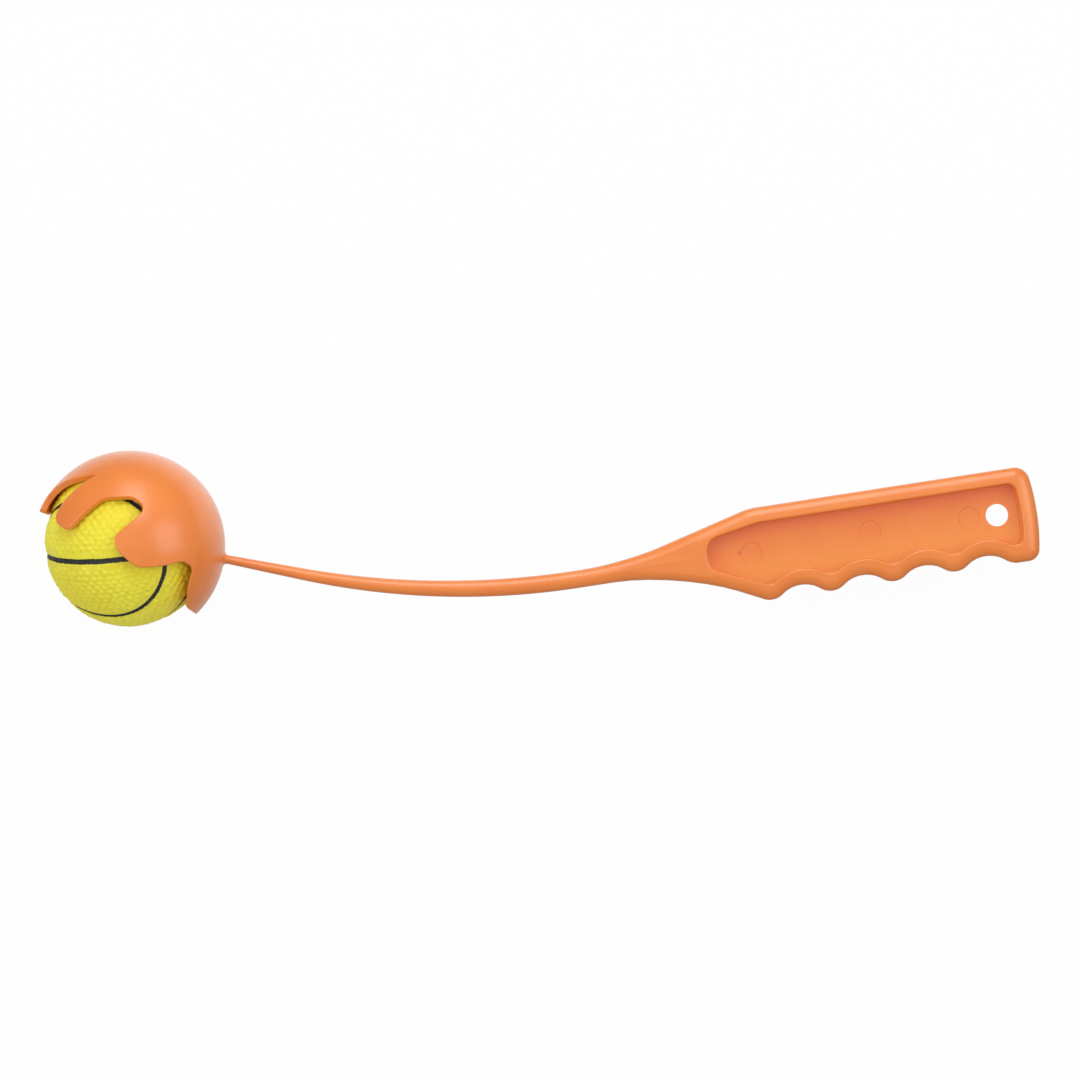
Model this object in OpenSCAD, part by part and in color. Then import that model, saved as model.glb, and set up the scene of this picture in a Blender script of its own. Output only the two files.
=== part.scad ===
// Dog ball launcher: a claw cup on a curved arm, a grip with finger scallops, and the ball it throws.
// The launcher lies on its side: its mid-plane is z = 0 and its grip runs along X.
// The origin is the centre of the hang hole. Lengths are in millimetres, angles in degrees.

/* [Ball] */
// Diameter of the ball
ball_d = 60; // [50:0.5:70]
// Width of the moulded seams at the ball's surface
seam_w = 1.7; // [1:0.1:3]
// Depth of the seam round the ball's waist
seam_depth = 0.6; // [0.45:0.05:1]
// Depth of the seam and the ovals that cross or flank the waist seam
oval_depth = 0.4; // [0.2:0.05:0.5]
// Angle from the ball's pole to its oval seams
oval_angle = 51.5; // [40:0.5:65]
// Room between the ball and the cup's inner wall, when both are centred
ball_play = 1.6; // [1:0.05:4]
// Gap left where the ball rests against the cup
seat_gap = 0.32; // [0.2:0.01:0.6]
// Direction from the cup's centre in which the ball rests
ball_rest_angle = 106.6; // [90:0.2:130]

/* [Claw cup] */
// Wall of the cup
cup_wall = 2.4; // [1.6:0.1:4]
// Distance from the hang hole back to the cup's centre
cup_reach = 307.4; // [280:0.1:360]
// Height of the cup's centre over the hang hole
cup_rise = 36.5; // [25:0.1:50]
// Direction in which the mouth faces
mouth_angle = 227.25; // [215:0.25:240]
// How far the long fingers reach past the cup's widest ring
lip_angle = 12.9; // [8:0.1:13.5]
// How far the upper notches cut back behind the widest ring
notch_angle = 25.4; // [18:0.1:32]
// How far the rear notches cut back behind the widest ring
rear_notch_angle = 11.2; // [8:0.1:18]
// Half the width of the top finger, measured round the mouth
top_finger_half = 15.3; // [12:0.1:20]
// Where the side finger starts, measured round the mouth from the top finger
side_finger_start = 34.4; // [31:0.1:37]
// Where the side finger ends
side_finger_end = 53; // [48:0.1:56]
// Where the cheek starts
cheek_start = 78.5; // [76:0.1:84]
// Where the cheek ends
cheek_end = 113; // [108:0.1:118]
// Where the heel finger starts
heel_start = 135; // [130:0.1:142]

/* [Arm] */
// Height of the arm's centre line over the hang hole
arm_y = 0.3; // [-3:0.1:3]
// Width of the arm in the throwing plane, at the grip
arm_w = 6.3; // [5:0.1:9]
// Thickness of the arm across the throwing plane, at the grip
arm_t = 10; // [8:0.1:14]
// Width of the arm at the cup
root_w = 3.1; // [2.4:0.1:5]
// Thickness of the arm at the cup
root_t = 7; // [5:0.1:10]
// Where on the cup the arm starts, seen from the cup's centre
root_angle = -16.6; // [-25:0.2:-10]
// Radius of the arm's bend
bend_r = 285; // [150:5:300]
// Distance from the shoulder of the grip back to the corner of the arm's bend
bend_back = 114; // [104:0.5:120]
// Length of the short neck on the cup, up to where the arm takes over
neck_len = 3.5; // [3:0.1:6]
// Radius of the fillet between neck and cup
neck_fillet = 1.2; // [1:0.1:2.9]

/* [Grip] */
// Height of the grip's back edge over the hang hole
back_y = 15.9; // [13:0.1:20]
// Thickness of the grip across its rims
grip_t = 15; // [11:0.1:20]
// Thickness of the web between the two recesses
web_t = 3; // [2:0.1:5]
// Width of the rim round the recesses
rim_w = 5.5; // [4.5:0.1:6.2]
// Rounding of the rim's outer edges
rim_r = 2.9; // [1.5:0.1:3.1]
// Rounding of the rim's inner edges
lip_r = 1.2; // [0.5:0.1:1.6]
// Number of finger scallops
scallop_count = 4; // [3:1:5]
// Distance from one scallop to the next
scallop_pitch = 22.3; // [21.5:0.1:25]
// Radius of a scallop's hollow
hollow_r = 11; // [9:0.1:11.4]
// Radius of the bumps between the scallops
bump_r = 6.9; // [6.5:0.1:7.2]
// Slope of the flanks between hollow and bump
flank_angle = 37; // [33:0.5:37]
// Depth of the scallops' deepest line below the hang hole
hollow_y = 13.65; // [11:0.05:17]
// Distance from the hang hole to the first scallop
first_scallop = 6.9; // [4:0.1:9]
// Distance from the hang hole to the grip's end
end_x = 14.3; // [12:0.1:18]
// Radius of the crowned end
end_r = 76; // [50:1:90]
// Radius of the end's corner on the back
back_corner_r = 5.3; // [4:0.1:6]
// Radius of the end's corner on the scalloped side
front_corner_r = 4.2; // [3.5:0.1:5]
// Diameter of the hang hole
hole_d = 8; // [5:0.1:9]

/* [Flare] */
// Distance from the last scallop back to the shoulder
shoulder_back = 13.7; // [11:0.1:16]
// Radius of the shoulder
shoulder_r = 40; // [20:1:60]
// Length of the flare on the back side
back_flare = 47; // [44:0.5:56]
// Radius where the arm turns into the back flare
back_flare_r = 110; // [90:1:160]
// Length of the flare on the scalloped side
front_flare = 30.5; // [27:0.5:36]
// Radius where the arm turns into the front flare
front_flare_r = 98; // [70:1:105]
// Distance from the shoulder back to the recess's round end
recess_back = 16; // [13:0.1:20]
// Height of the recess at its round end, over the arm's centre line
recess_nose_h = 6.6; // [5:0.1:8]
// Depth of the recess at its round end, under the arm's centre line
recess_nose_d = 1.8; // [1:0.1:3]

/* [Hidden] */

$fn = 96;
corner_steps = 6;
edge_steps = 4;
lip_steps = 2;
bend_steps = 14;
straight_steps = 6;
neck_steps = 5;

// How the ball happens to lie in the cup: lean and swing of its pole, then its spin
ball_turn = [0, 30.4, 198.2];
ball_spin = 67.2;
// Turn of the plain sphere under the seams, so that its poles lie clear of them
pole_clear = [0, 70, 45];

cup_r_in = ball_d / 2 + ball_play;
cup_r = cup_r_in + cup_wall;
cup_centre = [-cup_reach, cup_rise];
ball_shift = ball_play - seat_gap;
ball_centre = cup_centre + ball_shift * [cos(ball_rest_angle), sin(ball_rest_angle)];

// Scallop row: corner points of the zigzag that the hollows and bumps round off
flank_run = scallop_pitch / 2;
flank_drop = flank_run * tan(flank_angle);
round_gain = 1 / cos(flank_angle) - 1;
hollow_corner_y = -hollow_y + hollow_r * round_gain;
bump_corner_y = hollow_corner_y - flank_drop;
front_y = bump_corner_y + bump_r * round_gain;
last_scallop_x = -first_scallop - (scallop_count - 1) * scallop_pitch;
shoulder_x = last_scallop_x - shoulder_back;

// Arm: root on the cup, corner of the bend and the plane where the grip takes over
root = cup_centre + cup_r * [cos(root_angle), sin(root_angle)];
bend = [shoulder_x - bend_back, arm_y];
heading = atan2(bend[1] - root[1], bend[0] - root[0]);
run_out = 0.5;

// The bend is a fillet: the neck on one side and the start of the flare on the other hold its radius
back_flare_angle = atan2(back_y - arm_y - arm_w / 2, back_flare);
flare_start_x = shoulder_x - back_flare - back_flare_r * tan(back_flare_angle / 2);
bend_room = min(norm(bend - root) - neck_len, flare_start_x - run_out - bend[0]);
bend_fit_r = min(bend_r, bend_room / tan(abs(heading) / 2));
bend_tangent = bend_fit_r * tan(abs(heading) / 2);
straight_len = norm(bend - root) - bend_tangent;
bend_len = bend_fit_r * abs(heading) * PI / 180;
joint_x = bend[0] + bend_tangent + run_out;
arm_len = straight_len + bend_len + run_out;
edge_r = min(rim_r, 0.92 * arm_w / 2);
arm_round = edge_r / (arm_w / 2);

// Grip: how far its skin is drawn past the joint plane before it is cut there
overrun = 12;
web_overlap = 1;
recess_x = shoulder_x - recess_back;

function unit(v) = v / norm(v);
function turned(angle) = [cos(angle), sin(angle)];
function left_of(v) = [-v[1], v[0]];
function flat(p) = [p[0], p[1]];

// Rounds one corner b = [x, y, radius] of a path; each point also carries the normal on the path's left
function corner(a, b, c) =
    let (
        back = unit(flat(a) - flat(b)),
        ahead = unit(flat(c) - flat(b)),
        half = acos(back * ahead) / 2,
        side = sign(back[0] * ahead[1] - back[1] * ahead[0]),
        centre = flat(b) + unit(back + ahead) * b[2] / sin(half),
        spoke = flat(b) + back * b[2] / tan(half) - centre,
        start = atan2(spoke[1], spoke[0]),
        sweep = -side * (180 - 2 * half)
    )
    [for (i = [0:corner_steps])
        let (n = turned(start + sweep * i / corner_steps))
        concat(centre + b[2] * n, side * n)];

// Rounds every inner corner of an open path and keeps its two end points
function rounded(path) =
    let (
        last = len(path) - 1,
        first_normal = left_of(unit(flat(path[1]) - flat(path[0]))),
        last_normal = left_of(unit(flat(path[last]) - flat(path[last - 1])))
    )
    concat(
        [concat(flat(path[0]), first_normal)],
        [for (i = [1:last - 1]) each corner(path[i - 1], path[i], path[i + 1])],
        [concat(flat(path[last]), last_normal)]);

// Solid through a row of rings, closed by a flat cap at each end
module loft(rings) {
    count = len(rings[0]);
    last = len(rings) - 1;
    sides = [for (k = [0:last - 1], j = [0:count - 1])
        let (
            a = k * count + j,
            b = k * count + (j + 1) % count
        )
        each [[a, a + count, b + count], [a, b + count, b]]];
    start_cap = [for (j = [0:count - 1]) j];
    end_cap = [for (j = [count - 1:-1:0]) last * count + j];
    polyhedron([for (ring = rings) each ring], concat(sides, [start_cap, end_cap]));
}

// Closed skin over a row of loops in which the last loop meets the first
module closed_skin(loops) {
    count = len(loops[0]);
    rows = len(loops);
    sides = [for (k = [0:rows - 1], j = [0:count - 1])
        let (
            a = k * count,
            b = (k + 1) % rows * count,
            next = (j + 1) % count
        )
        each [[a + j, a + next, b + next], [a + j, b + next, b + j]]];
    polyhedron([for (loop = loops) each loop], sides);
}

// Point on the unit sphere: angle round the mouth, then angle past the widest ring
function on_sphere(p) = [cos(p[1]) * cos(p[0]), cos(p[1]) * sin(p[0]), sin(p[1])];

// Cut between two finger edges, from just past the mid-plane outwards. Its walls follow lines drawn from
// a point that lies a little behind the mid-plane, or far behind it for walls that stand straight up.
module notch(left_edge, right_edge, behind) {
    source = [0, -behind, 0];
    left_points = [for (p = rounded(left_edge)) cup_r * on_sphere(p)];
    right_points = [for (p = rounded(right_edge)) cup_r * on_sphere(p)];
    n = len(left_points);
    edges = concat(left_points, right_points);
    past_middle = 1;
    inner = [for (p = edges) source + (behind - past_middle) / (behind + p[1]) * (p - source)];
    outer = [for (p = edges) source + 2 * (p - source)];
    walls = [for (i = [0:n - 2])
        let (
            left_in = i,
            right_in = n + i,
            left_out = 2 * n + i,
            right_out = 3 * n + i
        )
        each [
            [left_in, left_out, left_out + 1, left_in + 1],
            [right_in, right_in + 1, right_out + 1, right_out],
            [left_in, left_in + 1, right_in + 1, right_in],
            [left_out, right_out, right_out + 1],
            [left_out, right_out + 1, left_out + 1]
        ]];
    ends = [
        [0, n, 3 * n, 2 * n],
        [n - 1, 3 * n - 1, 4 * n - 1, 2 * n - 1]
    ];
    polyhedron(concat(inner, outer), concat(walls, ends));
}

// Edges of the fingers on one side, in degrees: [round the mouth, past the widest ring, rounding]
lip = lip_angle;
over_lip = lip_angle + 4;
lean_behind = 0.3 * cup_r;
upright_behind = 4 * cup_r;
deep = -notch_angle;
rear_deep = -rear_notch_angle;

top_finger_edge = [
    [top_finger_half - 9, over_lip],
    [top_finger_half - 1.3, lip - 2, 4],
    [top_finger_half, deep + 18, 20],
    [side_finger_start - 3.5, deep, 4],
    [side_finger_start + 0.5, deep]
];
side_finger_upper_edge = [
    [side_finger_start + 6.5, over_lip],
    [side_finger_start - 0.2, lip - 2.4, 6],
    [side_finger_start, deep + 14, 20],
    [side_finger_start + 3.5, deep, 2],
    [side_finger_start + 1.5, deep]
];
side_finger_lower_edge = [
    [side_finger_end - 10, over_lip],
    [side_finger_end - 3, lip - 2, 5],
    [side_finger_end + 4, deep, 23],
    [cheek_start - 1.5, deep - 1.2]
];
cheek_upper_edge = [
    [cheek_start + 29.5, lip - 0.5],
    [cheek_start - 0.4, lip - 9.8, 6],
    [cheek_start + 7.5, deep - 2.6, 5],
    [cheek_start - 0.5, deep - 1.4]
];
cheek_lower_edge = [
    [cheek_end - 50, lip + 1.1],
    [cheek_end - 9.5, lip - 5.7, 8],
    [cheek_end, lip - 13.9, 30],
    [cheek_end + 10.5, rear_deep, 7],
    [heel_start - 7.2, rear_deep]
];
heel_edge = [
    [heel_start + 44, over_lip],
    [heel_start + 14, lip - 3, 9],
    [heel_start - 0.8, lip - 17.4, 10],
    [heel_start - 1.8, rear_deep, 3.5],
    [heel_start - 6.4, rear_deep]
];

// Round shell with its mouth and notches, in the mouth's own frame: +Z out of the mouth, +X to the top finger
module claw_shell() {
    mouth_h = 1.2 * cup_r;
    difference() {
        sphere(r = cup_r);
        sphere(r = cup_r_in);
        cylinder(h = mouth_h, r1 = 0, r2 = mouth_h / tan(lip_angle));
        for (flip = [0, 1])
            mirror([0, flip, 0]) {
                notch(top_finger_edge, side_finger_upper_edge, lean_behind);
                notch(side_finger_lower_edge, cheek_upper_edge, lean_behind);
                notch(cheek_lower_edge, heel_edge, upright_behind);
            }
    }
}

// Width and thickness of the arm at distance s from its root: both swell quickly, then level off
function swell(s) = sin(90 * min(max(s / arm_len, 0), 1));
function arm_width(s) = root_w + (arm_w - root_w) * swell(s);
function arm_thickness(s) = root_t + (arm_t - root_t) * swell(s);

// Rounded section of the arm, square to the direction of travel; grow widens it all round
function arm_section(place, travel, s, grow = 0) =
    let (
        half_w = arm_width(s) / 2 + grow,
        half_t = arm_thickness(s) / 2 + grow,
        r = arm_round * half_w,
        up = left_of(turned(travel))
    )
    [for (quarter = [0:3], j = [0:edge_steps])
        let (
            a = 90 * quarter + 90 * j / edge_steps,
            u = (half_w - r) * (quarter == 0 || quarter == 3 ? 1 : -1) + r * cos(a),
            v = (half_t - r) * (quarter < 2 ? 1 : -1) + r * sin(a)
        )
        concat(place + u * up, v)];

function on_straight(s) = root + s * turned(heading);
function fillet_grow(s) =
    let (k = min(max(1 - s / neck_fillet, 0), 1))
    neck_fillet * (1 - sqrt(1 - k * k));

// Short neck that the cup carries, flared where it runs into the wall
module neck() {
    sunk = cup_wall / 2;
    steps = [for (i = [0:neck_steps]) neck_len * i / neck_steps];
    loft(concat(
        [arm_section(on_straight(-sunk), heading, 0, fillet_grow(0))],
        [for (s = steps) arm_section(on_straight(s), heading, s, fillet_grow(s))]));
}

module claw_cup() {
    color("darkorange") {
        translate(cup_centre)
            rotate([0, 0, mouth_angle])
                rotate([0, 90, 0])
                    rotate([0, 0, -90])
                        claw_shell();
        neck();
    }
}

module arm() {
    bend_centre = bend + [bend_tangent, bend_fit_r];
    straight = [for (i = [0:straight_steps - 1])
        let (s = neck_len + (straight_len - neck_len) * i / straight_steps)
        arm_section(on_straight(s), heading, s)];
    curve = [for (i = [0:bend_steps])
        let (
            travel = heading * (1 - i / bend_steps),
            s = straight_len + bend_len * i / bend_steps
        )
        arm_section(bend_centre - bend_fit_r * left_of(turned(travel)), travel, s)];
    finish = [arm_section([joint_x, arm_y], 0, arm_len)];
    color("darkorange")
        loft(concat(straight, curve, finish));
}

// Half thickness of the grip: it grows from the arm's to its own along the flare
function half_thickness(x) =
    let (along = min((x - joint_x) / (recess_x - joint_x), 1))
    (arm_t + (grip_t - arm_t) * along) / 2;

// Corner points of the scallop row, from the grip's end back to its last bump, moved in by a margin;
// soften evens out the radii of hollows and bumps
function scallop_row(inset, soften) =
    let (rise = inset / cos(flank_angle))
    [for (i = [0:2 * scallop_count - 2])
        let (hollow = i % 2 == 0)
        [
            -first_scallop - i * flank_run,
            (hollow ? hollow_corner_y : bump_corner_y) + rise,
            hollow ? hollow_r + inset - soften : bump_r - inset + soften
        ]];

// Where the last scallop's flank meets a line that slopes down to it from point p
function last_bump(p, slope, inset) =
    let (
        top = hollow_corner_y + inset / cos(flank_angle),
        x = (p[1] - top + last_scallop_x * tan(flank_angle) + slope * p[0]) / (tan(flank_angle) + slope)
    )
    [x, p[1] - slope * (x - p[0]), bump_r - inset];

// End bump: where the first scallop's flank meets the flat next to the corner
function end_bump(inset) =
    let (
        top = hollow_corner_y + inset / cos(flank_angle),
        level = front_y + inset
    )
    [-first_scallop + (top - level) / tan(flank_angle), level, bump_r - inset];

end_mid_y = (back_y + front_y) / 2;

// Crowned end with its two corners, moved in by a margin
function grip_end(inset, back_r, front_r) =
    let (
        crown_r = end_r - inset,
        half_h = (back_y - front_y) / 2 - inset,
        lean = asin((half_h - max(back_r, front_r)) / crown_r),
        x = end_x - inset + crown_r * (1 / cos(lean) - 1),
        setback = half_h * tan(lean)
    )
    [
        [x - setback, back_y - inset, back_r],
        [x, end_mid_y, crown_r],
        [x - setback, front_y + inset, front_r]
    ];

arm_top = arm_y + arm_w / 2;
arm_bottom = arm_y - arm_w / 2;
front_flare_corner = [last_scallop_x - flank_run - front_flare, arm_bottom, front_flare_r];

// Slopes of the last bump's far side, outside and in the recess, and the roundings of the recess
front_slope = 0.494;
recess_slope = 0.57;
recess_nose_r = 3.6;
recess_soften = 0.9;
recess_corner_r = 2;
nose_gap = 0.8 * (arm_w / 2 - edge_r);
recess_low = [recess_x, arm_y - recess_nose_d, recess_nose_r / 2];

// Outline of the grip and its flare, from the arm round the end and back to the arm
grip_outline = rounded(concat(
    [
        [joint_x - overrun, arm_top],
        [shoulder_x - back_flare, arm_top, back_flare_r],
        [shoulder_x, back_y, shoulder_r]
    ],
    grip_end(0, back_corner_r, front_corner_r),
    [end_bump(0)],
    scallop_row(0, 0),
    [
        last_bump(front_flare_corner, front_slope, 0),
        front_flare_corner,
        [joint_x - overrun, arm_bottom]
    ]));

// Outline of the recess, with as many corners as the grip's own outline
recess_outline = rounded(concat(
    [
        [recess_x, arm_y + nose_gap],
        [recess_x, arm_y + recess_nose_h, recess_nose_r],
        [shoulder_x + rim_w / 2, back_y - rim_w, shoulder_r]
    ],
    grip_end(rim_w, recess_corner_r, recess_corner_r),
    [end_bump(rim_w)],
    scallop_row(rim_w, recess_soften),
    [
        last_bump(recess_low, recess_slope, rim_w),
        recess_low,
        [recess_x, arm_y - nose_gap]
    ]));

// One loop of the rim's skin on the upper (1) or lower (-1) face: step 0 is the wall, the last is the flat
function rim_loop(outline, r, step, steps, inwards, face) =
    let (
        draw_in = r * (1 - cos(90 * step / steps)) * inwards,
        drop = r * (1 - sin(90 * step / steps))
    )
    [for (p = outline)
        [p[0] - draw_in * p[2], p[1] - draw_in * p[3], face * (half_thickness(p[0]) - drop)]];

module rim() {
    closed_skin(concat(
        [for (i = [0:edge_steps]) rim_loop(grip_outline, edge_r, i, edge_steps, 1, 1)],
        [for (i = [lip_steps:-1:0]) rim_loop(recess_outline, lip_r, i, lip_steps, -1, 1)],
        [for (i = [0:lip_steps]) rim_loop(recess_outline, lip_r, i, lip_steps, -1, -1)],
        [for (i = [edge_steps:-1:0]) rim_loop(grip_outline, edge_r, i, edge_steps, 1, -1)]));
}

module handle() {
    color("darkorange") {
        difference() {
            rim();
            translate([joint_x - 2 * overrun, arm_y - arm_t, -arm_t])
                cube([2 * overrun, 2 * arm_t, 2 * arm_t]);
        }
        difference() {
            linear_extrude(web_t, center = true)
                polygon([for (p = recess_outline)
                    [p[0] + web_overlap * p[2], p[1] + web_overlap * p[3]]]);
            cylinder(d = hole_d, h = 2 * web_t, center = true);
        }
    }
}

// Round-bottomed seam on a circle of the ball, at an angle from its pole
module seam(from_pole, depth) {
    r = (seam_w * seam_w / 4 + depth * depth) / (2 * depth);
    path_r = ball_d / 2 - depth + r;
    rotate_extrude()
        translate(path_r * [sin(from_pole), cos(from_pole)])
            circle(r = r);
}

module ball() {
    color("gold")
        translate(ball_centre)
            rotate(ball_turn)
                rotate([0, 0, ball_spin])
                    difference() {
                        rotate(pole_clear)
                            sphere(d = ball_d);
                        rotate([0, 90, 0])
                            seam(90, seam_depth);
                        seam(90, oval_depth);
                        seam(oval_angle, oval_depth);
                        seam(180 - oval_angle, oval_depth);
                    }
}

claw_cup();
arm();
handle();
ball();
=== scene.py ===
# Dog ball launcher: the orange moulding and the sponge ball in its claw, in the CAD frame, metres
import math
import random

import bmesh
import bpy
from mathutils import Matrix, Vector, kdtree, noise


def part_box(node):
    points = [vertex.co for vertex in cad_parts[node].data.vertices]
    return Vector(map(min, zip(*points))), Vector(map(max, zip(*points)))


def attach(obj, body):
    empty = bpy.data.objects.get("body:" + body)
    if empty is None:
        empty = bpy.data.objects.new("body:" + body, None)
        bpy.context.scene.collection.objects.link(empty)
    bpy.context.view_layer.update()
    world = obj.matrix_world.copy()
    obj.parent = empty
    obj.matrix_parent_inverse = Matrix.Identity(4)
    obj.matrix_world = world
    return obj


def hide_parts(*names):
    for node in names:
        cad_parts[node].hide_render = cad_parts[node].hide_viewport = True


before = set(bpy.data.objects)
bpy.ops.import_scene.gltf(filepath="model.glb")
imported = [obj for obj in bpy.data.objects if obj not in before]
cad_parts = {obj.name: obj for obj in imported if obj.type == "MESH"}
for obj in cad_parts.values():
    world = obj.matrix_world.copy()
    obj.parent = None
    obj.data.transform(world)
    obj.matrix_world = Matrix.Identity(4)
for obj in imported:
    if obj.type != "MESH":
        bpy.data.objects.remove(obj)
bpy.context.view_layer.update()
scene = bpy.context.scene
mm = 0.001
tiny = 1e-7      # metres, less than any real step
weld = 4e-6      # vertices this close on the mid-plane become one
rng = random.Random(7)
noise.seed_set(7)      # noise vectors follow the clock otherwise


def smooth(value, low, high):
    t = min(max((value - low) / (high - low), 0), 1)
    return t * t * (3 - 2 * t)


def everything(bm):
    return bm.verts[:] + bm.edges[:] + bm.faces[:]


def vertsIn(geom):
    return [v for v in geom if isinstance(v, bmesh.types.BMVert)]


def edgesAmong(bm, verts):
    verts = set(verts)
    return [e for e in bm.edges if set(e.verts) <= verts]


def farX(item):
    return max(v.co.x for v in item.verts)


# draws a row of edges out, and returns the new vertices and edges
def drawOut(bm, edges):
    geom = bmesh.ops.extrude_edge_only(bm, edges=edges)["geom"]
    return vertsIn(geom), [e for e in geom if isinstance(e, bmesh.types.BMEdge)]


def roundOff(bm, geom, offset, segments, affect="EDGES"):
    return bmesh.ops.bevel(bm, geom=geom, offset=offset, segments=segments, profile=0.5, affect=affect,
                           clamp_overlap=False, material=-1)["verts"]


def sliceAt(bm, place, normal):
    bmesh.ops.bisect_plane(bm, geom=everything(bm), plane_co=place, plane_no=normal, dist=tiny / 10)


def mirrorAcross(bm):
    bmesh.ops.mirror(bm, geom=everything(bm), matrix=Matrix.Identity(4), merge_dist=weld, axis="Z")


# outline with every corner rounded, given as (x, y, radius) in mm; returns its vertices in order
def roundedLoop(bm, corners, z=0, steps=7):
    before = set(bm.faces)
    verts = [bm.verts.new((x * mm, y * mm, z * mm)) for x, y, radius in corners]
    bm.faces.new(verts)
    for vert, (x, y, radius) in zip(verts, corners):
        if radius:
            one, two = [e.other_vert(vert).co - vert.co for e in vert.link_edges]
            reach = radius * mm / math.tan(one.angle(two) / 2)
            roundOff(bm, [vert], reach, steps, "VERTICES")
    face = [f for f in bm.faces if f not in before][0]
    loop = face.verts[:]
    bmesh.ops.delete(bm, geom=[face], context="FACES_ONLY")
    return loop


def addPiece(name, bm, body, nodes, weighted=True):
    bmesh.ops.recalc_face_normals(bm, faces=bm.faces[:])
    mesh = bpy.data.meshes.new(name)
    bm.to_mesh(mesh)
    bm.free()
    mesh.polygons.foreach_set("use_smooth", [True] * len(mesh.polygons))
    piece = bpy.data.objects.new(name, mesh)
    scene.collection.objects.link(piece)
    if weighted:
        even = piece.modifiers.new("evenShading", "WEIGHTED_NORMAL")
        even.keep_sharp = True
    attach(piece, body)
    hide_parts(*nodes)
    print(name, len(mesh.vertices), "verts", len(mesh.polygons), "faces")
    return piece


# Claw cup: half of it is drawn as a flat pattern, then wrapped onto the sphere and mirrored
cup = dict(
    centre=(-307.4, 36.5), radius=34.0, wall=2.4, mouth=227.25, rim=0.5, rimSteps=3, cornerSteps=8,
    dice=2.5, diceShift=0.493, diceFrom=-88.63, diceSpan=104,      # grid cut into the pattern, degrees
    # lean of the cut faces, splay and twist of the top finger, each with the limits it fades between
    heelLean=4.0, heelTurn=(95, 115), heelSide=(0.3, 0.65),
    tipLean=-0.15, tipTurn=(14, 30), tipSide=(0, 0.12),
    splay=0.3, splayTurn=(10, 22), splayPast=(-6, 13),
    twist=0.13, tuck=0.22, twistTurn=(22, 32), twistPast=(-25, 6),
    # angle round the mouth, angle past its widest ring, rounding, all in degrees
    corners=[
        (0, -90, 0), (180, -90, 0), (180, 12.1, 0),
        (151.5, 12.1, 12), (138, 1.5, 20), (133.5, -10.6, 5), (124, -10.2, 7),
        (113, -0.2, 30), (101, 8.9, 10), (87.5, 7.4, 12), (78.3, 2.2, 6),
        (86, -26.9, 6.5), (72.5, -26.2, 8), (57.5, -15.3, 12),
        (49.5, 13.9, 5.5), (31.6, 13.8, 7.5), (32.7, -1, 25), (36.3, -19, 20), (38.6, -25.4, 0.9),
        (31, -20.6, 25), (16, -6, 20), (9.2, 5.5, 15), (8.8, 13.2, 3), (0, 13.2, 0),
    ],
)
degree = math.radians(1) * cup["radius"]      # length of one degree on the outer sphere, mm
bm = bmesh.new()
pattern = [(a * degree, b * degree, r * degree) for a, b, r in cup["corners"]]
sheet = bm.faces.new(roundedLoop(bm, pattern, steps=cup["cornerSteps"]))
if sheet.normal.z < 0:
    sheet.normal_flip()
slab = bmesh.ops.extrude_face_region(bm, geom=[sheet], use_keep_orig=True)["geom"]
bmesh.ops.translate(bm, verts=vertsIn(slab), vec=(0, 0, -cup["wall"] * mm))
bmesh.ops.recalc_face_normals(bm, faces=bm.faces[:])


def onSeam(co, slack=0.01):      # lines of the pattern that become the mid-plane and the pole
    turn, past = co.x / mm / degree, co.y / mm / degree
    return turn < slack, turn > 180 - slack, past < slack - 90


def alongSeam(item):
    return any(all(side) for side in zip(*[onSeam(v.co) for v in item.verts]))


rims = [e for e in bm.edges if abs(e.verts[0].co.z - e.verts[1].co.z) < tiny and not alongSeam(e)]
roundOff(bm, rims, cup["rim"] * mm, cup["rimSteps"])
bmesh.ops.delete(bm, geom=[f for f in bm.faces if alongSeam(f)], context="FACES")
for k in range(int(180 / cup["dice"])):
    sliceAt(bm, ((k + cup["diceShift"]) * cup["dice"] * degree * mm, 0, 0), (1, 0, 0))
for k in range(int(cup["diceSpan"] / cup["dice"])):
    sliceAt(bm, (0, (k * cup["dice"] + cup["diceFrom"]) * degree * mm, 0), (0, 1, 0))
mouthAngle = math.radians(cup["mouth"])
mouthOut = Vector((math.cos(mouthAngle), math.sin(mouthAngle), 0))
mouthTop = Vector((mouthOut.y, -mouthOut.x, 0))
cupCentre = Vector((*cup["centre"], 0)) * mm
cupRadius = cup["radius"] * mm
for v in bm.verts:      # wrap: depth becomes radius, and the cut faces lean as the mould's do
    turn, past, depth = v.co.x / cupRadius, v.co.y / cupRadius, -v.co.z
    ring = math.cos(past)
    skin = cupRadius * Vector((ring * math.cos(turn), ring * math.sin(turn), math.sin(past)))
    side = skin.y / cupRadius
    turn, past = math.degrees(turn), math.degrees(past)
    lean = cup["heelLean"] * smooth(side, *cup["heelSide"]) * smooth(turn, *cup["heelTurn"])
    lean += cup["tipLean"] * smooth(side, *cup["tipSide"]) * (1 - smooth(turn, *cup["tipTurn"]))
    source = Vector((0, -lean * cupRadius, 0))
    ray = skin - source
    half = source.dot(ray) / ray.length_squared
    rest = (source.length_squared - (cupRadius - depth) ** 2) / ray.length_squared
    spot = source + ray * (math.sqrt(half * half - rest) - half)
    tip = smooth(past, *cup["splayPast"]) * (1 - smooth(turn, *cup["splayTurn"]))
    spot += spot.normalized() * cup["splay"] * mm * tip
    v.co = cupCentre + mouthTop * spot.x + Vector((0, 0, spot.y)) + mouthOut * spot.z
bmesh.ops.remove_doubles(bm, verts=bm.verts[:], dist=weld / 2)
mirrorAcross(bm)
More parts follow.
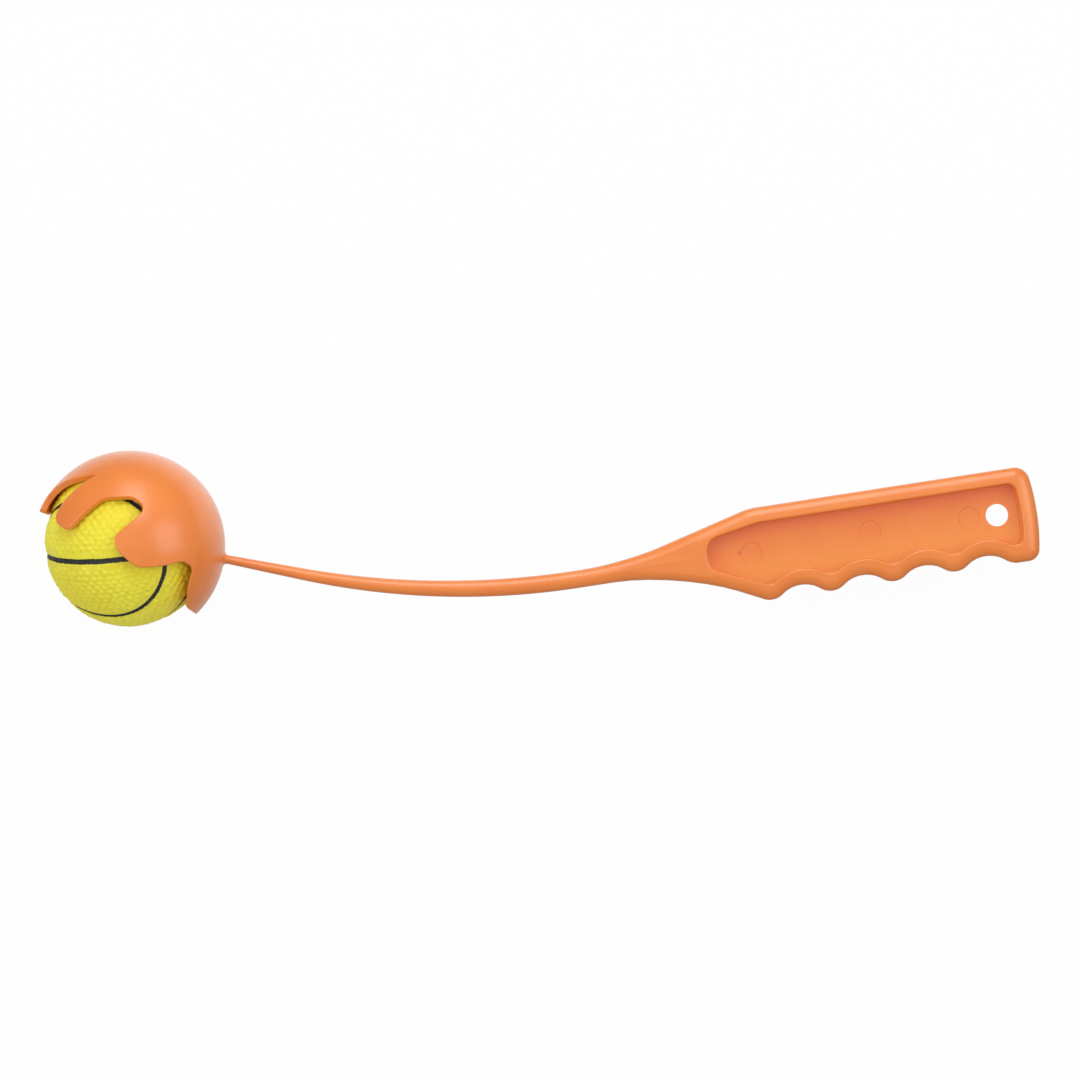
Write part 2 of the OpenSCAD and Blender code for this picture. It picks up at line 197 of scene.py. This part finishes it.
for v in bm.verts:      # the top finger is a little twisted, so that its inside shows beyond the cut face
    spot = v.co - cupCentre
    turn = math.degrees(math.atan2(abs(spot.z), spot.dot(mouthTop)))
    past = 90 - math.degrees(spot.angle(mouthOut))
    share = smooth(past, *cup["twistPast"]) * (1 - smooth(turn, *cup["twistTurn"]))
    v.co += spot.normalized() * spot.z * (cup["twist"] if spot.z > 0 else cup["tuck"]) * share
clawCup = addPiece("clawCup", bm, "launcher", ["claw_cup"])

# Stick: half of the grip from its outline and recess, mirrored, then the arm drawn out of its open end
stick = dict(
    half=7.5, web=1.5, lip=0.8, lipSteps=4, floor=0.35, floorSteps=3,
    outer=3.0, outerSteps=6, crownWide=4.7, crownHigh=3.4, crownFade=30,      # rounding of the rim
    endSlope=1.6, slopeZone=(3, 9.4),      # wall of the recess at the grip's end
    joint=-151.1, nose=-103.5, noseY=1.5, flareCuts=16, flareAbove=2,
    hole=4.0, ejectors=[(-88.5, 0.1), (-45.5, 1.2), (-10.0, 0.5)], ejectorRadius=3.85,
    ejectorStep=0.3, ejectorDraft=0.97, circleCuts=40,
    armY=0.3, armW=6.3, armT=10.0, rootW=3.1, rootT=7.0, rootAngle=-16.6,
    bend=(-201.5, 0.3), bendRadius=285.0, bendCuts=26, straightCuts=10,
    neck=3.5, fillet=1.4, footRings=[2.4, 1.4, 1.0, 0.7, 0.45, 0.25, 0.1, 0.0, -0.8], footRound=1.5,
    # x, y and rounding of every corner
    outline=[
        (-151.10, 3.45, 0), (-134.50, 3.45, 110), (-87.50, 15.90, 20), (12.63, 15.90, 5.3),
        (15.4, -0.82, 70), (12.6, -17.95, 4.2), (2.7, -17.95, 6.9), (-6.4, -10.65, 10.6),
        (-17.1, -19.5, 6.6), (-28.7, -10.88, 10.6), (-39.4, -19.5, 6.6), (-51.0, -10.88, 10.6),
        (-61.7, -19.5, 6.6), (-73.3, -10.88, 10.6), (-82.9, -18.75, 6.2), (-115.45, -2.85, 98),
        (-151.10, -2.85, 0), (-151.10, 0.30, 0),
    ],
    recess=[
        (-104.2, 6.8, 5.5), (-84.75, 10.40, 16), (7.93, 10.40, 3), (9.41, -0.82, 50),
        (7.9, -11.3, 2.6), (4.2, -11.3, 4), (-5.9, -5.0, 15), (-16.45, -12.1, 4.5),
        (-28.2, -5.0, 15), (-38.75, -12.1, 4.5), (-50.5, -5.0, 15), (-61.05, -12.1, 4.5),
        (-72.8, -5.0, 15), (-83.1, -12.3, 3), (-104.2, -3.3, 5), (-104.2, 1.5, 0),
    ],
)
bm = bmesh.new()
outer = roundedLoop(bm, stick["outline"], stick["half"])
inner = roundedLoop(bm, stick["recess"], stick["half"])


def startAt(loop, x, y):      # the same loop from its vertex nearest to x, y
    start = min(range(len(loop)), key=lambda i: (loop[i].co.xy - Vector((x, y)) * mm).length)
    return loop[start:] + loop[:start]


# top of the rim in two faces, then the outer wall, the recess's wall and its floor
outer = startAt(outer, stick["joint"], stick["armY"])
inner = startAt(inner, stick["nose"], stick["noseY"])
outEnd, inEnd = [max(range(len(ring)), key=lambda i: ring[i].co.x) for ring in (outer, inner)]
bm.faces.new(outer[:outEnd + 1] + inner[inEnd::-1])
bm.faces.new(outer[outEnd:] + [outer[0], inner[0]] + inner[:inEnd - 1:-1])
outerEdges, innerEdges = edgesAmong(bm, outer), edgesAmong(bm, inner)
wallVerts = drawOut(bm, outerEdges)[0]
bmesh.ops.translate(bm, verts=wallVerts, vec=(0, 0, -stick["half"] * mm))
floorVerts, floorEdges = drawOut(bm, innerEdges)
bmesh.ops.translate(bm, verts=floorVerts, vec=(0, 0, (stick["web"] - stick["half"]) * mm))
for v in floorVerts:      # the wall at the grip's end slopes
    v.co.x -= stick["endSlope"] * mm * smooth(v.co.x / mm, *stick["slopeZone"])
bmesh.ops.contextual_create(bm, geom=floorEdges)
bmesh.ops.recalc_face_normals(bm, faces=bm.faces[:])
atJoint = stick["joint"] * mm + 100 * tiny
rimEdges = [e for e in outerEdges if farX(e) > atJoint]
rimRound = roundOff(bm, rimEdges, stick["outer"] * mm, stick["outerSteps"])
roundOff(bm, innerEdges, stick["lip"] * mm, stick["lipSteps"])
roundOff(bm, floorEdges, stick["floor"] * mm, stick["floorSteps"])
bmesh.ops.delete(bm, geom=[f for f in bm.faces if farX(f) < atJoint], context="FACES")
for v in rimRound:      # the rim is rounder than the bevel: its crown lies close to the recess
    up = min(max((v.co.z / mm - stick["half"]) / stick["outer"] + 1, 0), 1)
    inset = 1 - stick["outer"] * (1 - math.sqrt(1 - up * up)) / stick["crownWide"]
    crown = stick["half"] - stick["crownHigh"] * (1 - math.sqrt(1 - inset * inset))
    fade = smooth(v.co.x / mm, stick["joint"], stick["joint"] + stick["crownFade"])
    v.co.z += (crown * mm - v.co.z) * fade
manyCorners = 20
tops = [f for f in bm.faces if len(f.verts) > manyCorners and f.verts[0].co.z > stick["half"] * mm / 2]
bmesh.ops.triangulate(bm, faces=tops, ngon_method="BEAUTY")

# web: its floor with the hang hole and the shallow ejector marks
webTop = stick["web"] * mm
floor = [f for f in bm.faces if all(abs(v.co.z - webTop) < tiny for v in f.verts)][0]
webEdges = floor.edges[:]
bmesh.ops.delete(bm, geom=[floor], context="FACES_ONLY")
circles = [(0, 0, stick["hole"])] + [(x, y, stick["ejectorRadius"]) for x, y in stick["ejectors"]]
rings = []
for x, y, radius in circles:
    place = Matrix.Translation((x * mm, y * mm, webTop))
    ring = bmesh.ops.create_circle(bm, segments=stick["circleCuts"], radius=radius * mm, matrix=place)
    rings.append(edgesAmong(bm, ring["verts"]))
bmesh.ops.triangle_fill(bm, use_beauty=True, edges=webEdges + sum(rings, []))
boreVerts = drawOut(bm, rings[0])[0]
bmesh.ops.translate(bm, verts=boreVerts, vec=(0, 0, -webTop))
for ring in rings[1:]:
    lowVerts, lowEdges = drawOut(bm, ring)
    spot = sum((v.co for v in lowVerts), Vector()) / len(lowVerts)
    draft = (stick["ejectorDraft"], stick["ejectorDraft"], 1)
    bmesh.ops.scale(bm, verts=lowVerts, vec=draft, space=Matrix.Translation(-spot))
    bmesh.ops.translate(bm, verts=lowVerts, vec=(0, 0, -stick["ejectorStep"] * mm))
    bmesh.ops.contextual_create(bm, geom=lowEdges)
    rings.append(lowEdges)
for e in sum(rings, []):
    e.smooth = False

# flare: the rims come down to the arm's thickness
flareLen = stick["nose"] - stick["joint"]
for k in range(stick["flareCuts"]):
    x = stick["joint"] + flareLen * (k + 0.5) / stick["flareCuts"]
    sliceAt(bm, (x * mm, 0, 0), (1, 0, 0))
for v in bm.verts:
    if v.co.z > stick["flareAbove"] * mm and v.co.x < stick["nose"] * mm:
        share = (stick["nose"] - v.co.x / mm) / flareLen
        v.co.z -= share * (stick["half"] - stick["armT"] / 2) * mm
mirrorAcross(bm)

# arm: the open end is drawn along the bend and the straight to the cup, and flared onto it
rootAngle = math.radians(stick["rootAngle"])
root = cupCentre.xy / mm + cup["radius"] * Vector((math.cos(rootAngle), math.sin(rootAngle)))
bend = Vector(stick["bend"])
heading = math.atan2(bend.y - root.y, bend.x - root.x)
tangent = stick["bendRadius"] * math.tan(abs(heading) / 2)
straight = (bend - root).length - tangent
bendLen = stick["bendRadius"] * abs(heading)
armLen = stick["joint"] - (bend.x + tangent) + bendLen + straight


# place and size of the section at s mm from the cup
def armPlace(s, grow=0):
    swell = math.sin(math.pi / 2 * min(max(s / armLen, 0), 1))
    width = stick["rootW"] + (stick["armW"] - stick["rootW"]) * swell + 2 * grow
    thick = stick["rootT"] + (stick["armT"] - stick["rootT"]) * swell + 2 * grow
    if s <= straight:
        angle, spot = heading, root + s * Vector((math.cos(heading), math.sin(heading)))
    else:
        angle = min(heading + (s - straight) / stick["bendRadius"], 0)
        hub = Vector((bend.x + tangent, bend.y + stick["bendRadius"]))
        spot = hub + stick["bendRadius"] * Vector((math.sin(angle), -math.cos(angle)))
        if angle == 0:
            spot.x = stick["joint"] - (armLen - s)
    size = Matrix.Diagonal((1, width / stick["armW"], thick / stick["armT"], 1))
    return Matrix.Translation((spot.x * mm, spot.y * mm, 0)) @ Matrix.Rotation(angle, 4, "Z") @ size


edges = [e for e in bm.edges if len(e.link_faces) == 1 and farX(e) < atJoint]
stations = [straight + bendLen * (1 - k / stick["bendCuts"]) for k in range(stick["bendCuts"] + 1)]
stations += [stick["neck"] + (straight - stick["neck"]) * (1 - k / stick["straightCuts"])
             for k in range(1, stick["straightCuts"] + 1)]
now = armPlace(armLen)
for s in stations + stick["footRings"]:
    k = min(max(1 - s / stick["fillet"], 0), 1)
    there = armPlace(s, stick["fillet"] * (1 - math.sqrt(1 - k * k)))
    verts, edges = drawOut(bm, edges)
    bmesh.ops.transform(bm, matrix=there @ now.inverted(), verts=verts)
    now = there
    if s < stick["footRound"]:      # the last rings follow the round of the cup
        for v in verts:
            v.co = cupCentre + (v.co - cupCentre).normalized() * (cupRadius + s * mm)
bmesh.ops.contextual_create(bm, geom=edges)      # closed inside the cup's wall
handle = addPiece("armAndGrip", bm, "launcher", ["arm", "handle"])

# Ball: sponge rubber with moulded pebbles and four painted seams
ballLow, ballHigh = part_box("ball")
ballCentre = (ballLow + ballHigh) / 2
ball = dict(
    radius=30.0, cuts=125, pebbleRise=0.45, pebbleSize=1.1, longer=1.3, sizes=(0.75, 1.05),
    pebblePitch=3.1, columns=16, pitchJitter=0.16, rowPitch=1.9, rows=24, rowJitter=0.15,
    wobble=0.5, wobbleScale=6, halfBall=0.7071,      # a sheet's reach where it has covered half the ball
    seamWidth=1.75, waistMore=0.12, seamDepth=0.4, seamSides=(0.3, 0.62), margin=1.9,
    waist=(0.0149, 0.9811, 0.1928), pole=(-0.5827, -0.1482, 0.799),
    # oval round the pole, degrees
    loop=[(56.45, 0), (-1.79, 0.02), (8.32, 0.33), (-3.35, 0.02), (0.8, -0.15), (-0.02, 0.14)],
)
waist, pole = [Vector(ball[key]).normalized() for key in ("waist", "pole")]
east = waist.cross(pole).normalized()
pole = east.cross(waist)


def seamDistance(way):      # mm from the middle of the nearest seam, along the surface
    if way.dot(pole) < 0:
        way = -way
    turn = math.atan2(way.dot(waist), way.dot(east))
    tilt = math.acos(min(way.dot(pole), 1))
    oval = slope = 0
    for k, (a, b) in enumerate(ball["loop"]):
        oval += a * math.cos(k * turn) + b * math.sin(k * turn)
        slope += k * (b * math.cos(k * turn) - a * math.sin(k * turn))
    slope = math.radians(slope) / math.sin(math.radians(oval))
    gap = abs(tilt - math.radians(oval)) / math.sqrt(1 + slope * slope)
    fromWaist = abs(way.dot(waist)) - ball["waistMore"] / ball["radius"]
    return ball["radius"] * min(gap, fromWaist, way.dot(pole))


spots = []      # staggered rows on a flat sheet for each half of the ball, wrapped with equal area
for side in (1, -1):
    for row in range(-ball["rows"], ball["rows"]):
        for col in range(-ball["columns"], ball["columns"]):
            shift = rng.uniform(-ball["pitchJitter"], ball["pitchJitter"])
            u = (col + 0.5 * (row % 2) + shift) * ball["pebblePitch"]
            v = (row + 0.5 + rng.uniform(-ball["rowJitter"], ball["rowJitter"])) * ball["rowPitch"]
            reach = math.hypot(u, v) / (2 * ball["radius"])
            if reach < ball["halfBall"]:
                tilt, turn = 2 * math.asin(reach), math.atan2(v, u)
                level = math.cos(turn) * east + math.sin(turn) * waist
                way = side * math.cos(tilt) * pole + math.sin(tilt) * level
                sway = noise.noise_vector(way * ball["wobbleScale"]) * ball["wobble"] / ball["radius"]
                way = (way + sway).normalized()
                if seamDistance(way) > ball["seamWidth"] / 2 + ball["margin"]:
                    spots.append((way, rng.uniform(*ball["sizes"])))
tree = kdtree.KDTree(len(spots))
for k, (way, size) in enumerate(spots):
    tree.insert(way, k)
tree.balance()
print("pebbles", len(spots))
bm = bmesh.new()
bmesh.ops.create_cube(bm, size=2)
bmesh.ops.subdivide_edges(bm, edges=bm.edges[:], cuts=ball["cuts"], use_grid_fill=True)
pebble, seam = [bm.verts.layers.float.new(key) for key in ("pebble", "seam")]
base = ball["radius"] - ball["pebbleRise"]
grooveFloor, grooveTop = [share * ball["seamWidth"] for share in ball["seamSides"]]
for v in bm.verts:
    way = Vector([math.tan(c * math.pi / 4) for c in v.co]).normalized()
    rise = 0
    for spot, k, gap in tree.find_n(way, 3):
        off = way - spot
        across = off.dot(waist.cross(spot).normalized()) / ball["longer"]
        near = (across ** 2 + off.dot(waist) ** 2) * (ball["radius"] / ball["pebbleSize"]) ** 2
        rise = max(rise, max(1 - near, 0) * spots[k][1])
    v[seam] = seamDistance(way)
    v[pebble] = rise
    groove = 1 - smooth(v[seam], grooveFloor, grooveTop)
    v.co = ballCentre + way * (base + rise * ball["pebbleRise"] - groove * ball["seamDepth"]) * mm
spongeBall = addPiece("spongeBall", bm, "ball", ["ball"], weighted=False)


# Materials, and the node helper that the stage uses too
class Nodes:
    def __init__(self, owner):
        owner.use_nodes = True
        self.owner = owner
        self.tree = owner.node_tree
        self.shader = self.tree.nodes.get("Principled BSDF")
        if self.shader:
            self.coord = self.add("ShaderNodeTexCoord").outputs["Object"]

    def fill(self, node, inputs):      # a socket is linked, anything else is set
        for key, value in inputs.items():
            if isinstance(value, bpy.types.NodeSocket):
                self.tree.links.new(value, node.inputs[key])
            else:
                node.inputs[key].default_value = value

    def add(self, kind, inputs=None, **settings):
        node = self.tree.nodes.new(kind)
        for key, value in settings.items():
            setattr(node, key, value)
        self.fill(node, inputs or {})
        return node

    def math(self, operation, one, two=0.0):
        return self.add("ShaderNodeMath", {0: one, 1: two}, operation=operation).outputs[0]

    def vector(self, operation, one, two=(0, 0, 0)):
        return self.add("ShaderNodeVectorMath", {0: one, 1: two}, operation=operation).outputs

    def distanceTo(self, place):
        return self.vector("DISTANCE", self.coord, place)["Value"]

    def noise(self, scale, detail, rough=0.5):
        inputs = {"Vector": self.coord, "Scale": scale, "Detail": detail, "Roughness": rough}
        return self.add("ShaderNodeTexNoise", inputs).outputs["Fac"]

    def ramp(self, value, low, high, outLow=0.0, outHigh=1.0, kind="SMOOTHSTEP"):
        inputs = {"Value": value, "From Min": low, "From Max": high, "To Min": outLow, "To Max": outHigh}
        return self.add("ShaderNodeMapRange", inputs, interpolation_type=kind).outputs["Result"]

    def span(self, value, low, high, outLow=0.0, outHigh=1.0):      # a ramp between lengths in mm
        return self.ramp(value, low * mm, high * mm, outLow, outHigh)

    def patches(self, scale, detail, low, high, outLow=0.0, outHigh=1.0):
        return self.ramp(self.noise(scale, detail), low, high, outLow, outHigh)

    def ragged(self, amount, scale, detail, rough):      # noise about zero
        return self.math("MULTIPLY", self.math("SUBTRACT", self.noise(scale, detail, rough), 0.5), amount)

    def mix(self, share, one, two):
        one, two = [c if isinstance(c, bpy.types.NodeSocket) else (*c, 1) for c in (one, two)]
        return self.add("ShaderNodeMix", {"Factor": share, 6: one, 7: two}, data_type="RGBA").outputs[2]

    def bump(self, strength, depth, scale, detail):
        inputs = {"Strength": strength, "Distance": depth * mm, "Height": self.noise(scale, detail)}
        return self.add("ShaderNodeBump", inputs).outputs[0]

    def show(self, share, one, two):      # a mix of two shaders as the output
        both = self.add("ShaderNodeMixShader", {0: share, 1: one.outputs[0], 2: two.outputs[0]})
        output = [node for node in self.tree.nodes if node.name.endswith("Output")][0]
        self.fill(output, {0: both.outputs[0]})


# clouds, rough, the patches between the pebbles and worn: scale and detail of the noise, the part that
# counts, what comes out
plastic = dict(
    orange=(0.93, 0.245, 0.024), deep=(0.9, 0.22, 0.018), clouds=(55, 4, 0.35, 0.68),
    # the redder web colour is painted shade under the back rim; the paler one is painted light at the
    # scallops
    shadeRed=(0.95, 0.185, 0.018), shadeRedY=(2, 11), litPale=(0.88, 0.29, 0.03), litPaleY=(-8, 2),
    webDepth=(2.5, 5), webStart=(-106, -103),
    speck=(0.6, 0.06, 0.02), speckScale=210.0, speckSize=(0.022, 0.03), speckShare=0.75,
    mark=(-92.9, 0.6, 1.5), markSize=(0.18, 0.9), markShare=0.8, markRagged=(0.0014, 1400, 3, 0.5),
    rough=(240, 3, 0.3, 0.7, 0.38, 0.51), grain=(0.12, 0.05, 2600, 2), coatIor=1.55, coatRough=0.25,
)


def plasticMaterial(name):
    n = Nodes(bpy.data.materials.new(name))
    colour = n.mix(n.patches(*plastic["clouds"]), plastic["orange"], plastic["deep"])
    # painted shade and light: the web is redder along the back rim, where the rim's shadow falls, and
    # paler at the scallops, where the light falls
    place = n.add("ShaderNodeSeparateXYZ", {0: n.coord}).outputs
    onWeb = n.math("MULTIPLY", n.span(n.math("ABSOLUTE", place["Z"]), *plastic["webDepth"], 1, 0),
                   n.span(place["X"], *plastic["webStart"]))
    back = n.math("MULTIPLY", onWeb, n.span(place["Y"], *plastic["shadeRedY"]))
    colour = n.mix(back, colour, plastic["shadeRed"])
    front = n.math("MULTIPLY", onWeb, n.span(place["Y"], *plastic["litPaleY"], 1, 0))
    colour = n.mix(front, colour, plastic["litPale"])
    # fine specks, and the flow mark beside the first ejector
    cells = n.add("ShaderNodeTexVoronoi", {"Vector": n.coord, "Scale": plastic["speckScale"]})
    specks = n.ramp(cells.outputs["Distance"], *plastic["speckSize"], plastic["speckShare"], 0)
    colour = n.mix(specks, colour, plastic["speck"])
    away = n.math("ADD", n.distanceTo(Vector(plastic["mark"]) * mm), n.ragged(*plastic["markRagged"]))
    mark = n.span(away, *plastic["markSize"], plastic["markShare"], 0)
    n.fill(n.shader, {
        "Base Color": n.mix(mark, colour, plastic["speck"]),
        "Roughness": n.patches(*plastic["rough"]), "Normal": n.bump(*plastic["grain"]),
        "Coat Weight": 1.0, "Coat IOR": plastic["coatIor"], "Coat Roughness": plastic["coatRough"],
    })
    return n.owner


rubber = dict(
    yellow=(0.92, 0.81, 0.03), pale=(0.96, 0.88, 0.05), clouds=(70, 4, 0.35, 0.7),
    # the darker, greener colour, its height span and its patches are for the low ground between the
    # pebbles
    valleyColour=(0.5, 0.42, 0.03), valleyHeight=(0.0, 0.6), valleyShare=0.18, valleyPatches=(45, 3, 0.3, 0.7, 0.4, 1),
    paint=(0.02, 0.02, 0.019), paintEdge=(0.9, 1.08), paintRagged=(0.9, 900, 4, 0.65),
    worn=(1900, 2, 0.68, 0.75, 1, 0.4),      # flecks where the paint is worn
    dots=[(-10.8, -7.1, 26.3, 0.55), (4.0, -17.7, 23.1, 0.45)],      # grime dots: way from the centre, size
    dotCore=0.4, dotShare=0.85, rough=(500, 3, 0.3, 0.7, 0.5, 0.68), grain=(0.25, 0.1, 1500, 3),
)


def rubberMaterial(name):
    n = Nodes(bpy.data.materials.new(name))
    gap, height = [n.add("ShaderNodeAttribute", attribute_name=key).outputs["Fac"]
                   for key in ("seam", "pebble")]
    colour = n.mix(n.patches(*rubber["clouds"]), rubber["yellow"], rubber["pale"])
    # between the pebbles the colour is darker and greener, in patches, where the pebble height is low
    between = n.ramp(height, *rubber["valleyHeight"], rubber["valleyShare"], 0)
    colour = n.mix(n.math("MULTIPLY", between, n.patches(*rubber["valleyPatches"])), colour, rubber["valleyColour"])
    for x, y, z, size in rubber["dots"]:
        place = ballCentre + Vector((x, y, z)).normalized() * ball["radius"] * mm
        dot = n.span(n.distanceTo(place), rubber["dotCore"] * size, size, rubber["dotShare"], 0)
        colour = n.mix(dot, colour, rubber["paint"])
    inside, outside = [share * ball["seamWidth"] / 2 for share in rubber["paintEdge"]]
    paint = n.ramp(n.math("ADD", gap, n.ragged(*rubber["paintRagged"])), inside, outside, 1, 0)
    paint = n.math("MULTIPLY", paint, n.patches(*rubber["worn"]))
    n.fill(n.shader, {
        "Base Color": n.mix(paint, colour, rubber["paint"]),
        "Roughness": n.patches(*rubber["rough"]), "Normal": n.bump(*rubber["grain"]),
    })
    return n.owner


clawCup.data.materials.append(plasticMaterial("cupPlastic"))
handle.data.materials.append(plasticMaterial("gripPlastic"))
spongeBall.data.materials.append(rubberMaterial("spongeRubber"))
print("materials on", clawCup.name, handle.name, spongeBall.name)

# Stage: pale floor, white surroundings, a broad light over the top edge and the camera square above
view = dict(centre=(-162.46, 16.19), width=385.4, roll=-8.8, reach=1500, clip=20)
middle = Vector((*view["centre"], 0)) * mm
paper = dict(
    half=3, level=-34.2, grey=(0.9, 0.9, 0.9, 1), rough=0.9, white=0.96,
    # its reflections are white near the launcher only, and whiter behind it than in front
    pool=(0.28, 0.16), nearFar=(0.65, 1.1, 1.0, 0.15), frontBack=(-0.25, 0.3, 0.3, 1.0),
)
bm = bmesh.new()
bmesh.ops.create_grid(bm, x_segments=1, y_segments=1, size=paper["half"],
                      matrix=Matrix.Translation((middle.x, middle.y, paper["level"] * mm)))
mesh = bpy.data.meshes.new("floor")
bm.to_mesh(mesh)
bm.free()
floorPlane = bpy.data.objects.new("floor", mesh)
scene.collection.objects.link(floorPlane)
n = Nodes(bpy.data.materials.new("paper"))
n.fill(n.shader, {"Base Color": paper["grey"], "Roughness": paper["rough"]})
wide, deep = paper["pool"]
offset = n.vector("MULTIPLY", n.vector("SUBTRACT", n.coord, middle)[0], (1 / wide, 1 / deep, 0))[0]
near = n.ramp(n.vector("LENGTH", offset)["Value"], *paper["nearFar"], kind="LINEAR")
along = n.add("ShaderNodeSeparateXYZ", {0: offset}).outputs["Y"]
behind = n.ramp(along, *paper["frontBack"], kind="LINEAR")
path = n.add("ShaderNodeLightPath").outputs
strength = n.math("MAXIMUM", n.math("MULTIPLY", near, behind), path["Is Camera Ray"])
seen = n.math("MAXIMUM", path["Is Camera Ray"], path["Is Glossy Ray"])
glow = n.add("ShaderNodeEmission", {"Strength": strength})
n.show(n.math("MULTIPLY", seen, paper["white"]), n.shader, glow)
mesh.materials.append(n.owner)

roomLight = 0.48
scene.world = bpy.data.worlds.new("studio")
n = Nodes(scene.world)
room = n.tree.nodes["Background"]
n.fill(room, {"Color": (1, 1, 1, 1), "Strength": roomLight})
white = n.add("ShaderNodeBackground", {"Color": (1, 1, 1, 1)})
n.show(n.add("ShaderNodeLightPath").outputs["Is Camera Ray"], room, white)

lamps = dict(      # offset from the middle and size in metres, watts
    key=((0.07, 0.93, 0.88), 0.7, 4.15),      # over the back edge
    top=((0.09, 1.12, 0.43), 0.45, 1.25),
    side=((0.75, 0.09, 0.80), 0.7, 2.55),      # beyond the grip
    left=((-0.84, 0.12, 0.84), 0.6, 2.45),
    front=((-0.1, 0.1, 1.5), 1.2, 1.2),
)
for name, (offset, size, power) in lamps.items():
    lamp = bpy.data.objects.new(name, bpy.data.lights.new(name, "AREA"))
    lamp.data.size = size
    lamp.data.energy = power
    lamp.location = middle + Vector(offset)
    lamp.rotation_euler = (-Vector(offset)).to_track_quat("-Z", "Y").to_euler()
    scene.collection.objects.link(lamp)

camera = bpy.data.objects.new("camera", bpy.data.cameras.new("camera"))
camera.data.type = "ORTHO"
camera.data.ortho_scale = view["width"] * mm
camera.data.clip_end = view["clip"]
camera.location = middle + Vector((0, 0, view["reach"] * mm))
camera.rotation_euler = (0, 0, math.radians(view["roll"]))
scene.collection.objects.link(camera)
scene.camera = camera
scene.view_settings.view_transform = "Standard"
print("stage", len(lamps), "lamps")
